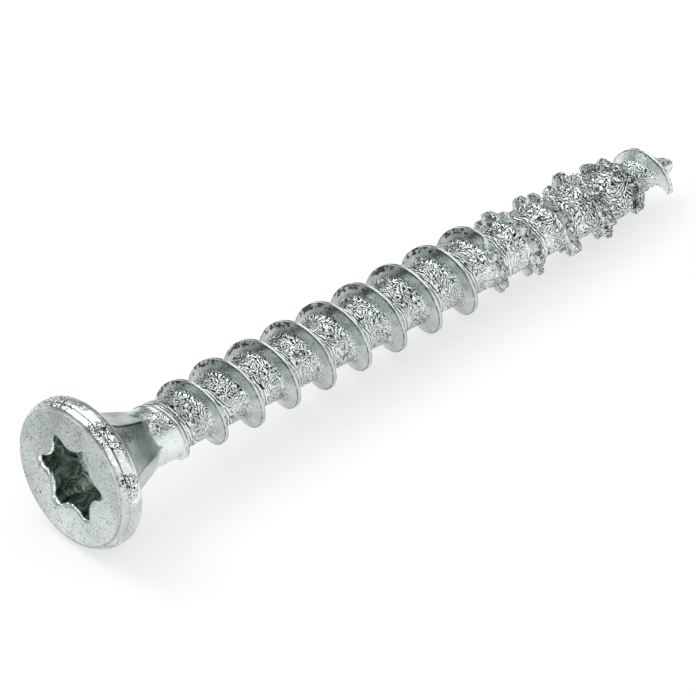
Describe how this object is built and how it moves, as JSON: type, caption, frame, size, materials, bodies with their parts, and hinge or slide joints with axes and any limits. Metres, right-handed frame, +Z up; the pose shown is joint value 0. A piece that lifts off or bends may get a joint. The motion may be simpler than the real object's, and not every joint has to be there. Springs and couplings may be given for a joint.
{
  "type": "multi-purpose screw",
  "caption": "Countersunk screw with a six-lobe recess, a six-sided neck and a coarse thread whose last turns are cut into teeth.",
  "frame": {"origin": "on the surface that the screw lies on, at the middle of its length", "axes": "+X along the screw from its head to its point, 3.3 degrees nose down because the head is wider than the thread; +Z up from the surface"},
  "size_m": [0.0726, 0.0144, 0.0145],
  "materials": {
    "zinc_plated_steel": "bright zinc plating with a pitted, hammered surface"
  },
  "bodies": {
    "root": {"screw": "zinc_plated_steel"}
  },
  "joints": []
}
